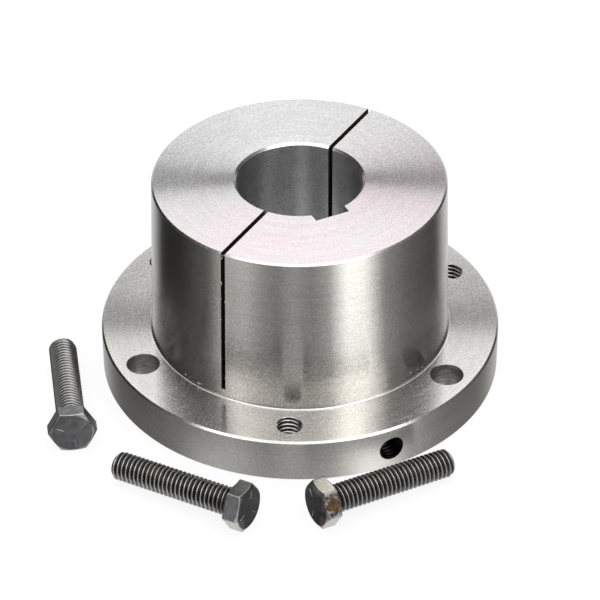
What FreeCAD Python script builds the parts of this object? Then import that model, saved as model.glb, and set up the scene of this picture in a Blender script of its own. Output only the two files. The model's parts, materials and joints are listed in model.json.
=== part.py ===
import FreeCAD, Part
import math
import os
import re
import Sketcher
from FreeCAD import Matrix, Placement, Vector

# A flanged, tapered and split shaft bushing, with its three cap screws lying beside it.
# Lengths are in millimetres and angles in degrees. The origin is the bore's centre on the
# flange's back face, +Z runs along the bore to the nose, and the keyway faces -Y.

INCH = 25.4

# Driving dimensions: name, value and what it is.
BUSHING_SIZES = [
    ("barrel_diameter", 4.0 * INCH, "large end of the tapered barrel, at the flange"),
    ("flange_ledge", 17.1, "width of the flange outside the barrel"),
    ("flange_thickness", 0.625 * INCH, "back face to front face of the flange"),
    ("overall_length", 2.875 * INCH, "back face of the flange to the nose"),
    ("barrel_taper", 0.75 / 12, "change of diameter per length, three quarters in the foot"),
    ("bore_diameter", 42.0, "straight bore for the shaft"),
    ("keyway_width", 12.0, "width of the key"),
    ("keyway_depth", 3.3, "depth of the keyway beyond the bore, on its centre line"),
    ("saw_cut_width", 1.6, "width of the cut that splits the barrel"),
    ("saw_cut_rise", 3.3, "height of the cut's floor above the flange"),
    ("saw_cut_angle", 33.7, "turn of the cut from +X"),
    ("holes_each", 3, "clearance holes, and as many tapped holes between them"),
    ("hole_step", 0.3125 * INCH, "from the barrel's foot out to the circle of the holes"),
    ("clearance_hole", 0.4375 * INCH, "diameter of a clearance hole"),
    ("tapped_hole", 0.3125 * INCH, "tap drill of a hole for the cap screws"),
    ("set_screw_hole", 0.3125 * INCH, "tap drill of the set screw hole over the key"),
    ("bore_break", 0.8, "chamfer at both mouths of the bore"),
    ("nose_break", 0.6, "chamfer round the nose"),
    ("rim_break", 0.9, "chamfer on the flange's front edge"),
    ("back_break", 0.5, "chamfer on the flange's back edge"),
    ("root_fillet", 0.8, "fillet where the barrel meets the flange"),
    ("hole_break", 0.1, "chamfer at both mouths of each flange hole"),
]

SCREW_SIZES = [
    ("screw_length", 1.75 * INCH, "under the head to the point"),
    ("screw_diameter", 0.375 * INCH, "major diameter of the thread"),
    ("point_chamfer", 1.1, "chamfer at the screw's point"),
    ("across_flats", 0.5625 * INCH, "width of the hexagon head"),
    ("head_height", 5.8, "bearing face to the top of the head"),
    ("washer_height", 0.4, "height of the round bearing face under the hexagon"),
    ("washer_diameter", 13.6, "diameter of the bearing face"),
    ("crown_diameter", 13.4, "diameter of the flat on top of the head"),
    ("crown_angle", 30.0, "slope of the chamfer on the head's corners"),
]

# Where each loose screw lies. Its nearest point is the point of its line that is nearest to the
# bore's axis, and its hand is which way round the bushing it points (1 is anticlockwise).
SCREW_PLACES = [
    ("cap_screw_left_bearing", 161.5, "bearing of its nearest point"),
    ("cap_screw_left_gap", 8.8, "clear way there from the flange's rim to its shank"),
    ("cap_screw_left_lead", 35.7, "distance from its head to its nearest point"),
    ("cap_screw_left_hand", -1, "way round that it points"),
    ("cap_screw_front_bearing", -146.5, "bearing of its nearest point"),
    ("cap_screw_front_gap", 13.6, "clear way there from the flange's rim to its shank"),
    ("cap_screw_front_lead", 25.4, "distance from its head to its nearest point"),
    ("cap_screw_front_hand", -1, "way round that it points"),
    ("cap_screw_right_bearing", -87.1, "bearing of its nearest point"),
    ("cap_screw_right_gap", 7.2, "clear way there from the flange's rim to its shank"),
    ("cap_screw_right_lead", 33.6, "distance from its head to its nearest point"),
    ("cap_screw_right_hand", 1, "way round that it points"),
]
SCREWS = ["cap_screw_left", "cap_screw_front", "cap_screw_right"]

BARREL = "barrel_diameter / 2"
RIM = "(barrel_diameter / 2 + flange_ledge)"
HOLE_CIRCLE = "(barrel_diameter / 2 + hole_step)"
NOSE_RADIUS = "(barrel_diameter - barrel_taper * (overall_length - flange_thickness)) / 2"
HEX_CORNER = "across_flats / sqrt(3)"


# The sheet of sizes

def fill_sheet(doc):
    sheet = doc.addObject("Spreadsheet::Sheet", "Sizes")
    rows = BUSHING_SIZES + SCREW_SIZES + SCREW_PLACES
    for row, (name, value, meaning) in enumerate(rows, 1):
        sheet.set(f"A{row}", name)
        sheet.set(f"B{row}", repr(value))
        sheet.set(f"C{row}", meaning)
        sheet.setAlias(f"B{row}", name)
    doc.recompute()
    return sheet


def formula(text):
    """Turn the names of sizes in a formula into references to the sheet's cells."""
    return re.sub(r"[a-z]+(?:_[a-z]+)+", lambda name: "Sizes." + name.group(), text)


def work_out(doc, text):
    """The value of a formula of sizes."""
    value = doc.Sizes.evalExpression(formula(text))
    return float(getattr(value, "Value", value))


# Sketches

def new_sketch(body, name, role, **offsets):
    """Attach a sketch to one of the body's own origin planes, moved by formulas."""
    plane = next(item for item in body.Origin.OriginFeatures if item.Role == role)
    sketch = body.newObject("Sketcher::SketchObject", name)
    sketch.AttachmentSupport = [(plane, "")]
    sketch.MapMode = "FlatFace"
    for place, text in offsets.items():
        part = "Rotation.Angle" if place == "turn" else f"Base.{place}"
        sketch.setExpression(f".AttachmentOffset.{part}", formula(text))
    return sketch


def locate(sketch, geometry, point, across, up):
    """Tie one point of a sketch to the sheet by its two distances from the origin."""
    for kind, text in (("DistanceX", across), ("DistanceY", up)):
        value = work_out(sketch.Document, text)
        constraint = Sketcher.Constraint(kind, -1, 1, geometry, point, value)
        number = sketch.addConstraint(constraint)
        sketch.setExpression(f"Constraints[{number}]", formula(text))


def draw_outline(sketch, corners):
    """Draw a closed outline whose corners are pairs of formulas."""
    doc = sketch.Document
    points = [Vector(work_out(doc, across), work_out(doc, up), 0) for across, up in corners]
    count = len(points)
    for line in range(count):
        sketch.addGeometry(Part.LineSegment(points[line], points[(line + 1) % count]))
    for line in range(count):
        joined = Sketcher.Constraint("Coincident", line, 2, (line + 1) % count, 1)
        sketch.addConstraint(joined)
    for line, (across, up) in enumerate(corners):
        locate(sketch, line, 1, across, up)


def draw_circle(sketch, diameter, across, up):
    """Draw a circle whose diameter and centre are formulas."""
    doc = sketch.Document
    centre = Vector(work_out(doc, across), work_out(doc, up), 0)
    radius = work_out(doc, diameter) / 2
    circle = sketch.addGeometry(Part.Circle(centre, Vector(0, 0, 1), radius))
    number = sketch.addConstraint(Sketcher.Constraint("Diameter", circle, radius * 2))
    sketch.setExpression(f"Constraints[{number}]", formula(diameter))
    locate(sketch, circle, 3, across, up)


# Features

def ring_edges(shape, radius, height):
    """Names of the circular edges of one radius at one height on the Z axis."""
    names = []
    for number, edge in enumerate(shape.Edges, 1):
        if not isinstance(edge.Curve, Part.Circle):
            continue
        centre = edge.Curve.Center
        misses = (math.hypot(centre.x, centre.y), edge.Curve.Radius - radius, centre.z - height)
        if max(abs(miss) for miss in misses) < Part.Precision.confusion() * 10:
            names.append(f"Edge{number}")
    return names


def dress(body, kind, name, size, *rings):
    """Chamfer or fillet circular edges, each given by a radius and a height as formulas."""
    doc = body.Document
    base = body.Tip
    edges = []
    for radius, height in rings:
        edges += ring_edges(base.Shape, work_out(doc, radius), work_out(doc, height))
    feature = body.newObject(f"PartDesign::{kind}", name)
    feature.Base = (base, edges)
    feature.setExpression("Radius" if kind == "Fillet" else "Size", formula(size))
    doc.recompute()


def revolve(body, kind, name, section):
    """Turn a section round its sketch's upright axis, to add (Revolution) or cut (Groove)."""
    feature = body.newObject(f"PartDesign::{kind}", name)
    feature.Profile = section
    feature.ReferenceAxis = (section, ["V_Axis"])
    feature.Angle = 360
    body.Document.recompute()
    return feature


def pocket(body, name, sketch):
    """Cut a sketch's outline through everything on the side that its normal points to."""
    feature = body.newObject("PartDesign::Pocket", name)
    feature.Profile = sketch
    feature.Type = "ThroughAll"
    feature.Reversed = True
    body.Document.recompute()
    return feature


def repeat_round(body, feature, count):
    """Repeat a feature evenly round the Z axis, as many times as a formula says."""
    axis = next(item for item in body.Origin.OriginFeatures if item.Role == "Z_Axis")
    pattern = body.newObject("PartDesign::PolarPattern", feature.Name + "Ring")
    pattern.Originals = [feature]
    pattern.Axis = (axis, [""])
    pattern.Angle = 360
    pattern.setExpression("Occurrences", formula(count))
    body.Tip = pattern
    body.Document.recompute()


# The bushing

def turn_blank(body):
    """Turn the flange, the tapered barrel and the bore, and break their edges."""
    section = new_sketch(body, "TurnedSection", "XZ_Plane")
    draw_outline(section, [
        ("bore_diameter / 2", "0"),
        (RIM, "0"),
        (RIM, "flange_thickness"),
        (BARREL, "flange_thickness"),
        (NOSE_RADIUS, "overall_length"),
        ("bore_diameter / 2", "overall_length"),
    ])
    revolve(body, "Revolution", "TurnedBlank", section)
    mouths = [("bore_diameter / 2", "0"), ("bore_diameter / 2", "overall_length")]
    dress(body, "Fillet", "RootFillet", "root_fillet", (BARREL, "flange_thickness"))
    dress(body, "Chamfer", "BoreBreaks", "bore_break", *mouths)
    dress(body, "Chamfer", "NoseBreak", "nose_break", (NOSE_RADIUS, "overall_length"))
    dress(body, "Chamfer", "RimBreak", "rim_break", (RIM, "flange_thickness"))
    dress(body, "Chamfer", "BackBreak", "back_break", (RIM, "0"))


def drill_flange(body, name, diameter, place):
    """Drill a ring of holes, each with both mouths broken, the first at one place along X."""
    section = new_sketch(body, name + "Section", "XZ_Plane", x=place)
    wall = f"{diameter} / 2"
    mouth = f"{diameter} / 2 + hole_break"
    draw_outline(section, [
        ("0", "0"),
        (mouth, "0"),
        (wall, "hole_break"),
        (wall, "flange_thickness - hole_break"),
        (mouth, "flange_thickness"),
        ("0", "flange_thickness"),
    ])
    hole = revolve(body, "Groove", name, section)
    repeat_round(body, hole, "holes_each")


def cut_keyway(body):
    """Broach the keyway through bore and flange on the -Y side."""
    plan = new_sketch(body, "KeywayPlan", "XY_Plane")
    floor = "-(bore_diameter / 2 + keyway_depth)"
    draw_outline(plan, [
        ("-keyway_width / 2", floor),
        ("keyway_width / 2", floor),
        ("keyway_width / 2", "0"),
        ("-keyway_width / 2", "0"),
    ])
    pocket(body, "Keyway", plan)


def drill_set_screw_hole(body):
    """Drill from the rim into the keyway at the middle of the flange's thickness."""
    plan = new_sketch(body, "SetScrewPlan", "XZ_Plane")
    draw_circle(plan, "set_screw_hole", "0", "flange_thickness / 2")
    pocket(body, "SetScrewHole", plan)


def split_barrel(body):
    """Saw right across the barrel from the nose, stopping a little above the flange."""
    floor = "flange_thickness + saw_cut_rise"
    plan = new_sketch(body, "SawCutPlan", "XY_Plane", z=floor, turn="saw_cut_angle")
    draw_outline(plan, [
        (f"-{RIM}", "-saw_cut_width / 2"),
        (RIM, "-saw_cut_width / 2"),
        (RIM, "saw_cut_width / 2"),
        (f"-{RIM}", "saw_cut_width / 2"),
    ])
    pocket(body, "SawCut", plan)


def make_bushing(doc):
    body = doc.addObject("PartDesign::Body", "Bushing")
    body.Label = "bushing"
    turn_blank(body)
    drill_flange(body, "TappedHoles", "tapped_hole", HOLE_CIRCLE)
    drill_flange(body, "ClearanceHoles", "clearance_hole", f"-{HOLE_CIRCLE}")
    cut_keyway(body)
    drill_set_screw_hole(body)
    split_barrel(body)
    return body


# The cap screws, each with its bearing face on its own XY plane and its point up

def turn_shank(body):
    section = new_sketch(body, "ShankSection", "XZ_Plane")
    draw_outline(section, [
        ("0", "-washer_height"),
        ("washer_diameter / 2", "-washer_height"),
        ("washer_diameter / 2", "0"),
        ("screw_diameter / 2", "0"),
        ("screw_diameter / 2", "screw_length - point_chamfer"),
        ("screw_diameter / 2 - point_chamfer", "screw_length"),
        ("0", "screw_length"),
    ])
    revolve(body, "Revolution", "Shank", section)


def forge_head(body):
    """Add the hexagon, a flat towards -X, and chamfer its corners round the crown."""
    plan = new_sketch(body, "HexagonPlan", "XY_Plane", z="-washer_height")
    flat = "across_flats / 2"
    edge = f"{HEX_CORNER} / 2"
    draw_outline(plan, [
        (flat, edge),
        ("0", HEX_CORNER),
        ("-" + flat, edge),
        ("-" + flat, "-" + edge),
        ("0", "-" + HEX_CORNER),
        (flat, "-" + edge),
    ])
    hexagon = body.newObject("PartDesign::Pad", "Hexagon")
    hexagon.Profile = plan
    hexagon.Reversed = True
    hexagon.setExpression("Length", formula("head_height - washer_height"))
    body.Document.recompute()
    section = new_sketch(body, "CrownSection", "XZ_Plane")
    slope = "(across_flats - crown_diameter / 2) * tan(crown_angle * 1 deg)"
    draw_outline(section, [
        ("crown_diameter / 2", "-head_height"),
        ("across_flats", "-head_height"),
        ("across_flats", f"{slope} - head_height"),
    ])
    revolve(body, "Groove", "Crown", section)


def lie_down(doc, name):
    """Place a screw on the floor, resting on one flat of its head and on its point."""
    def size(text):
        return work_out(doc, text)

    bearing = math.radians(size(f"{name}_bearing"))
    nearest = Vector(math.cos(bearing), math.sin(bearing), 0)
    ahead = Vector(-nearest.y, nearest.x, 0) * size(f"{name}_hand")
    reach = size(f"{RIM} + {name}_gap + screw_diameter / 2")
    rise = size("(across_flats - screw_diameter) / 2")
    run = size("screw_length - point_chamfer + washer_height")
    dip = math.atan2(rise, run)
    upright = Vector(0, 0, 1)
    axis = ahead * math.cos(dip) - upright * math.sin(dip)
    upper_flat = upright * math.cos(dip) + ahead * math.sin(dip)
    across = axis.cross(upper_flat)
    lift = size("across_flats / 2") * math.cos(dip) - size("washer_height") * math.sin(dip)
    head = nearest * reach - ahead * size(f"{name}_lead") + upright * lift
    return Placement(Matrix(
        upper_flat.x, across.x, axis.x, head.x,
        upper_flat.y, across.y, axis.y, head.y,
        upper_flat.z, across.z, axis.z, head.z,
    ))


def make_cap_screw(doc, name):
    body = doc.addObject("PartDesign::Body", name.title().replace("_", ""))
    body.Label = name
    turn_shank(body)
    forge_head(body)
    body.Placement = lie_down(doc, name)
    return body


def check(doc, bodies):
    """Stop if a feature failed, changed nothing, or left a piece that is not one valid solid."""
    for item in doc.Objects:
        if {"Invalid", "Error"} & set(item.State):
            raise RuntimeError(f"{item.Label} has failed")
        base = getattr(item, "BaseFeature", None)
        if base and getattr(item, "Occurrences", 2) > 1:
            if math.isclose(item.Shape.Volume, base.Shape.Volume, rel_tol=1e-9):
                raise RuntimeError(f"{item.Label} changed nothing")
    for body in bodies:
        if body.Shape.isNull() or not body.Shape.isValid() or len(body.Shape.Solids) != 1:
            raise RuntimeError(f"{body.Label} is not one valid solid")


def main():
    doc = FreeCAD.newDocument("TaperedBushing")
    fill_sheet(doc)
    bodies = [make_bushing(doc)]
    bodies += [make_cap_screw(doc, name) for name in SCREWS]
    doc.recompute()
    check(doc, bodies)
    os.makedirs("parts", exist_ok=True)
    for body in bodies:
        body.Shape.exportStep(f"parts/{body.Label}.step")


main()
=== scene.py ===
import json
import math
from functools import partial

import bmesh
import bpy
from bpy.props import FloatProperty, FloatVectorProperty, IntProperty, PointerProperty
from mathutils import Matrix, Vector


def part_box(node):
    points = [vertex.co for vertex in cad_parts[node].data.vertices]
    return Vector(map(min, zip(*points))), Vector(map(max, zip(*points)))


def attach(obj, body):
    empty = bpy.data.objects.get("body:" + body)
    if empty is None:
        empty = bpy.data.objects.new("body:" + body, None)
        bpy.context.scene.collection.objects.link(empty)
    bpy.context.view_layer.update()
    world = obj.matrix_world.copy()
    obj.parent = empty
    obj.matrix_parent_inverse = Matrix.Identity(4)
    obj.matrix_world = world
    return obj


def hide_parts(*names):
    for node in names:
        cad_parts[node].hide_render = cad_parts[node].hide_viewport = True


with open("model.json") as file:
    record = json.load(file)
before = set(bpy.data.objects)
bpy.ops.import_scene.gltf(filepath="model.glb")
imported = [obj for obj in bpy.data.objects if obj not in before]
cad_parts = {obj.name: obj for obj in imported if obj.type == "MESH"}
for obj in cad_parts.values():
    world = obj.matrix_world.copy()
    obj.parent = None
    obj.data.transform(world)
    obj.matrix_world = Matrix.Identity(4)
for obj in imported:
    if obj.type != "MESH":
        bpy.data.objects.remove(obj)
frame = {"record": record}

# The looks of a flanged, tapered and split shaft bushing and of its three cap screws. The frame's
# origin is the bore's centre on the flange's back face, +Z runs to the nose, and all is in metres.

bl_info = {
    "name": "Split tapered bushing",
    "version": (1, 0, 0),
    "blender": (4, 5, 0),
    "location": "View3D > Sidebar > Bushing",
    "description": "Turns, drills and saws the bushing and lays its cap screws beside it",
    "category": "Mesh",
}

MM = 0.001
INCH = 0.0254
MOUNTS = {mount["name"]: mount["dims"] for mount in frame["record"]["mounts"]}
BUSHING_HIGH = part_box("bushing")[1]
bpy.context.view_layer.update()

# Each loose screw: its CAD node, the bearing of the point of its line that is nearest to the bore,
# the clear way there from rim to shank, the way from there back to its head, which way round the
# bushing it points, and how far its head's marks are turned.
SCREW_PLACES = {
    "left_cap_screw": ("cap_screw_left", 161.5, 8.8, 35.7, -1, 52),
    "front_cap_screw": ("cap_screw_front", -146.5, 13.6, 25.4, -1, 20),
    "right_cap_screw": ("cap_screw_right", -87.1, 7.2, 33.6, 1, 75),
}
# The flats of the heads that are lightened as painted reflections, and the one that is rusty, by
# their turn in degrees from the upper one towards the camera's side.
PAINTED_REFLECTION_FLATS = {"front_cap_screw": (120,), "right_cap_screw": (0, 120)}
RUSTY_FLATS = {"right_cap_screw": (60,)}

# Where torn metal stands up: bearing, height in millimetres and size in millimetres. The first
# ones are on the edges of the saw cut, the next ones are chips that lie at the barrel's foot.
BURRS = (
    (-146.6, 72.2, 1.2), (-146.9, 71.3, 1.0), (-145.6, 72.5, 0.8), (-147.3, 70.6, 0.6),
    (-147.2, 61.8, 0.9), (-147.0, 60.9, 0.6), (-145.4, 58.2, 0.5),
    (-147.2, 55.3, 0.9), (-145.4, 54.6, 0.8), (-147.2, 47.0, 0.5), (-145.4, 38.5, 0.5),
    (-147.2, 38.0, 0.6), (-147.2, 31.0, 0.5), (-145.4, 24.0, 0.5),
    (-165.1, 17.2, 0.7), (-162.6, 17.3, 0.6), (-158.3, 17.0, 0.9), (-157.4, 16.9, 0.8),
    (-156.4, 17.2, 0.6), (-70.0, 18.6, 0.6), (-66.0, 17.9, 0.6), (-63.0, 17.3, 0.5),
    (-108.1, 66.5, 0.6), (-107.2, 66.0, 0.4),
)
# The burr at the front tapped hole's mouth stands on the flange: its place and its size.
MOUTH_BURR = (-33.1 * MM, -49.1 * MM, 0.9 * MM)

# The soft boxes, level and in line with the camera: brightness, then in metres the width, the
# shift to the camera's right, the reach behind the bushing from and to, and the height.
SOFT_BOXES = {
    "overhead_soft_box": (1.06, 0.9, 0, -0.35, 0.81, 0.646),
    "front_soft_box": (1.6, 2.4, 0.15, -0.85, -0.5, 0.85),
}
# Half the brightness of the studio's walls, by bearing from the camera, from behind the object
# round its left to behind it again.
WALLS = (
    (-180, 0.20), (-152, 0.22), (-134, 0.01), (-100, 0.02), (-72, 0.08), (-62, 0.30),
    (-42, 0.36), (-30, 0.22), (-18, 0.15), (-4, 0.23), (8, 0.16), (22, 0.28), (36, 0.95),
    (50, 0.90), (66, 0.20), (90, 0.09), (130, 0.03), (146, 0.28), (180, 0.20),
)
# Behind the object the white paper runs on and curls up, and is dark only at its top edge, under
# the soft box: half its brightness by height, from straight below at 0 to straight above at 1.
# It takes over from the walls between two bearings, to either side.
CURL = ((0.40, 0.50), (0.50, 0.56), (0.73, 0.56), (0.76, 0.14))
CURL_BEARINGS = 135, 168
# Half the colour of the paper under the object, for the mirror rays that go down between two
# slopes or more steeply, where straight down is -1.
NEAR_FLOOR = (0.45, 0.45, 0.46, 1)
STEEP = -0.92, -0.84


def linear(code):
    """An sRGB hex colour as the linear colour that the shaders take."""
    parts = [int(code[place:place + 2], 16) / 255 for place in (1, 3, 5)]
    return [p / 12.92 if p <= 0.04045 else ((p + 0.055) / 1.055) ** 2.4 for p in parts] + [1.0]


# Sizes and colours that a user may change

def length(name, description, default):
    return FloatProperty(name=name, description=description, default=default, min=0,
                         unit="LENGTH", precision=5)


def angle(name, description, degrees):
    return FloatProperty(name=name, description=description, default=math.radians(degrees),
                         subtype="ANGLE", unit="ROTATION")


def colour(name, description, code):
    return FloatVectorProperty(name=name, description=description, default=linear(code), size=4,
                               min=0, max=1, subtype="COLOR")


class BushingSizes(bpy.types.PropertyGroup):
    rim_radius: length("Rim radius", "Outside of the flange", BUSHING_HIGH.x)
    overall_length: length("Overall length", "Back face to nose", BUSHING_HIGH.z)
    bore_radius: length("Bore radius", "Straight bore for the shaft", MOUNTS["bore"]["r_mm"] * MM)
    barrel_radius: length("Barrel radius", "Large end of the taper, at the flange", 2 * INCH)
    flange_thickness: length("Flange thickness", "Back face to front face", 0.625 * INCH)
    taper: FloatProperty(name="Taper", description="Change of diameter per length of the barrel",
                         default=0.75 / 12, min=0, max=1)
    keyway_width: length("Keyway width", "Width of the key", 12 * MM)
    keyway_depth: length("Keyway depth", "Depth of the keyway beyond the bore", 3.3 * MM)
    saw_width: length("Saw cut width", "Width of the cut that splits the barrel", 1.6 * MM)
    saw_rise: length("Saw cut rise", "Height of the cut's floor above the flange", 3.3 * MM)
    saw_turn: angle("Saw cut turn", "Turn of the cut from +X", 33.7)
    hole_circle: length("Hole circle", "Radius that the flange's holes lie on",
                        MOUNTS["clearance_holes"]["pcd_mm"] / 2 * MM)
    holes_each: IntProperty(name="Holes of a kind", description="Clearance or tapped holes",
                            default=MOUNTS["clearance_holes"]["count"], min=1)
    clearance_radius: length("Clearance hole radius", "Plain holes of the flange",
                             MOUNTS["clearance_holes"]["hole_r_mm"] * MM)
    tapped_radius: length("Tapped hole radius", "Crests of the threads in flange and rim",
                          MOUNTS["tapped_holes"]["hole_r_mm"] * MM)
    bore_break: length("Bore break", "Chamfer at the bore's mouths", 0.8 * MM)
    nose_break: length("Nose break", "Chamfer round the nose", 0.6 * MM)
    rim_break: length("Rim break", "Chamfer on the flange's front edge", 0.65 * MM)
    back_break: length("Back break", "Chamfer on the flange's back edge", 0.5 * MM)
    root_fillet: length("Root fillet", "Fillet from barrel to flange", 0.8 * MM)
    hole_break: length("Hole break", "Chamfer at the holes' mouths", 0.1 * MM)
    columns: IntProperty(name="Columns", description="Facets round the bushing", default=288)


class ScrewSizes(bpy.types.PropertyGroup):
    under_head: length("Length", "Under the head to the point", 1.75 * INCH)
    major_radius: length("Major radius", "Outside of the thread", 0.375 / 2 * INCH)
    minor_radius: length("Minor radius", "Root of the thread", 3.77 * MM)
    pitch: length("Pitch", "Sixteen threads to the inch", INCH / 16)
    point_chamfer: length("Point chamfer", "Chamfer at the screw's point", 1.1 * MM)
    across_flats: length("Across flats", "Width of the hexagon", 0.5625 * INCH)
    head_height: length("Head height", "Bearing face to crown", 5.8 * MM)
    washer_height: length("Washer height", "Height of the round bearing face", 0.4 * MM)
    washer_radius: length("Washer radius", "Radius of the bearing face", 6.8 * MM)
    crown_radius: length("Crown radius", "Radius of the head's flat top", 6.7 * MM)
    crown_slope: angle("Crown slope", "Slope of the chamfer on the head's corners", 30)
    columns: IntProperty(name="Columns", description="Facets round a thread", default=64)


class Finishes(bpy.types.PropertyGroup):
    # The faces' and the nose's tints are lighter than the walls': painted light on the flat faces.
    steel_face_painted_light: colour("Faced steel", "Bare steel on the flange's faces", "#EEEBE8")
    steel_nose_painted_light: colour("Nose", "Finely faced steel on the nose", "#F2F1F1")
    # Painted reflection: a pink tint over the nose's keyway side, the half towards the camera.
    steel_painted_pink_reflection: colour("Painted pink reflection", "Faint tint over the keyway's side of the nose", "#EFE0E5")
    steel_wall: colour("Turned steel", "Bare steel on the turned walls", "#D6D4CE")
    steel_bored: colour("Bored steel", "Wall of the bore", "#E2E2E3")
    steel_drilled: colour("Drilled steel", "Walls of the drilled holes", "#CFCECC")
    steel_tapped: colour("Tapped steel", "Threads in the flange's holes", "#DAD8D5")
    # A near-black steel for the threads of the set screw's hole.
    steel_near_black: colour("Near-black steel", "Threads of the set screw's hole", "#3B3936")
    steel_sawn: colour("Sawn steel", "Walls of the saw cut", "#6E6256")
    burr: colour("Burr", "Bright torn metal", "#EFE4BC")
    # Near-black painted shade for the thread roots.
    black_steel: colour("Blackened steel", "The screws' dark film", "#8E8E90")
    # This colour also lightens some heads' flats as painted reflections.
    black_worn_and_reflection: colour("Worn steel and reflection", "Crests that shine through the film", "#CCC8C0")
    old_oil: colour("Old oil", "Brown film in the threads", "#4A3422")
    root_painted_shade: colour("Root shade", "Black film in the threads", "#1A1918")
    rust: colour("Rust", "Patch on one screw head", "#33230F")
    rust_flakes: colour("Rust flakes", "Lighter spots of that patch", "#614725")
    floor: colour("Floor", "Paper under the object", "#F4F4F4")


class StudioSizes(bpy.types.PropertyGroup):
    camera_azimuth: angle("Camera azimuth", "Turn of the camera round the bushing", -26.3)
    camera_elevation: angle("Camera elevation", "Height of the camera's place", 36.135)
    camera_pitch: angle("Camera pitch", "How far the camera looks below the centre", 0.548)
    camera_roll: angle("Camera roll", "Lean of the camera", -0.2745)
    camera_yaw: angle("Camera yaw", "How far the camera looks past the centre", -0.002)
    camera_distance: length("Camera distance", "Camera to the aim", 0.9325)
    aim_height: length("Aim height", "Height of the aim on the bore's axis", 0.034)
    lens: FloatProperty(name="Lens", description="Focal length in millimetres", default=165.0)
    room: FloatProperty(name="Room light", description="Light from the white room", default=0.75)


# Nodes and meshes

def add_node(tree, kind, sockets=(), stops=(), **settings):
    """Add a node, set it, and fill its inputs with values or with other nodes' outputs. A dict
    names the inputs, a tuple fills those in use in their order, and a list in either one links
    several nodes to one input."""
    node = tree.nodes.new(kind)
    for name, value in settings.items():
        setattr(node, name, value)
    if stops:
        ramp = node.color_ramp
        while len(ramp.elements) < len(stops):
            ramp.elements.new(0.5)
        for element, (place, shade) in zip(ramp.elements, stops):
            element.position = place
            element.color = shade, shade, shade, 1
    if not isinstance(sockets, dict):
        used = [place for place, socket in enumerate(node.inputs) if socket.enabled]
        sockets = dict(zip(used, sockets))
    for key, value in sockets.items():
        for source in value if isinstance(value, list) else [value]:
            if isinstance(source, bpy.types.Node):
                source = next(output for output in source.outputs if output.enabled)
            if isinstance(source, bpy.types.NodeSocket):
                tree.links.new(source, node.inputs[key])
            else:
                node.inputs[key].default_value = source
    return node


def new_tree(name, inputs):
    """A geometry tree, what adds its nodes, and the outputs of its named inputs."""
    tree = bpy.data.node_groups.new(name, "GeometryNodeTree")
    tree.interface.new_socket("Geometry", in_out="OUTPUT", socket_type="NodeSocketGeometry")
    for title, kind in {"Geometry": "Geometry", **inputs}.items():
        tree.interface.new_socket(title, in_out="INPUT", socket_type="NodeSocket" + kind)
    node = partial(add_node, tree)
    return tree, node, node("NodeGroupInput").outputs


def end_tree(node, geometry, finish):
    """End a geometry tree with plain meshes that all have one finish."""
    plain = node("GeometryNodeRealizeInstances", (geometry,))
    clad = node("GeometryNodeSetMaterial", {"Geometry": plain, "Material": finish})
    node("NodeGroupOutput", (clad,))


def run_tree(tree, mesh, values):
    """Run a geometry tree on a mesh and return what it makes as a mesh with no finish yet."""
    holder = bpy.data.objects.new(tree.name, mesh)
    bpy.context.scene.collection.objects.link(holder)
    modifier = holder.modifiers.new(tree.name, "NODES")
    modifier.node_group = tree
    for item in tree.interface.items_tree:
        if item.in_out == "INPUT" and item.name in values:
            modifier[item.identifier] = values[item.name]
    made = plain_mesh(holder)
    made.materials.clear()
    bpy.data.objects.remove(holder)
    return made


def plain_mesh(obj):
    """An object's mesh with its modifiers worked in."""
    graph = bpy.context.evaluated_depsgraph_get()
    return bpy.data.meshes.new_from_object(
        obj.evaluated_get(graph), preserve_all_data_layers=True, depsgraph=graph)


def polar(radius, turn, height=0.0):
    """A point by its distance from the Z axis, its bearing and its height."""
    return Vector((radius * math.cos(turn), radius * math.sin(turn), height))


def lathe(outline, columns):
    """Turn a closed outline of (radius, height) points round Z into a mesh."""
    bm = bmesh.new()
    turns = [2 * math.pi * column / columns for column in range(columns)]
    rings = []
    for radius, height in outline:
        if radius < 1e-9:
            rings.append([bm.verts.new((0, 0, height))] * columns)
        else:
            rings.append([bm.verts.new(polar(radius, turn, height)) for turn in turns])
    loft(bm, rings, closed=True)
    return to_mesh(bm)


def loft(bm, rings, closed=False):
    """Join rings of as many corners each with faces; a ring may be one corner repeated."""
    ends = rings[1:] + rings[:1] if closed else rings[1:]
    for low, high in zip(rings, ends):
        for place in range(len(low)):
            after = (place + 1) % len(low)
            corners = [low[place], low[after], high[after], high[place]]
            corners = list(dict.fromkeys(corners))
            if len(corners) > 2:
                bm.faces.new(corners)


def to_mesh(bm):
    """Turn all faces outwards, smooth them and return them as a mesh."""
    bmesh.ops.recalc_face_normals(bm, faces=bm.faces)
    for face in bm.faces:
        face.smooth = True
    mesh = bpy.data.meshes.new("piece")
    bm.to_mesh(mesh)
    bm.free()
    return mesh


def block(low, high):
    """A box tool between two corners."""
    bm = bmesh.new()
    bmesh.ops.create_cube(bm, size=1)
    low, high = Vector(low), Vector(high)
    bmesh.ops.scale(bm, vec=high - low, verts=bm.verts)
    bmesh.ops.translate(bm, vec=(low + high) / 2, verts=bm.verts)
    return to_mesh(bm)


def finish_piece(name, mesh, materials, replaced=()):
    """Make a mesh into a piece that rides on the one body and takes a slot's finish."""
    mesh.name = name
    for material in materials[len(mesh.materials):]:
        mesh.materials.append(material)
    piece = bpy.data.objects.new(name, mesh)
    bpy.context.scene.collection.objects.link(piece)
    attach(piece, "root")
    if replaced:
        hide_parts(*replaced)
    return piece


# Threads

THREAD_INPUTS = {
    "Major Radius": "Float",
    "Minor Radius": "Float",
    "Pitch": "Float",
    "Length": "Float",
    "Run-out": "Float",
    "Chamfer": "Float",
    "Columns": "Int",
    "Finish": "Material",
}
STEPS_PER_PITCH = 8


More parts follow.
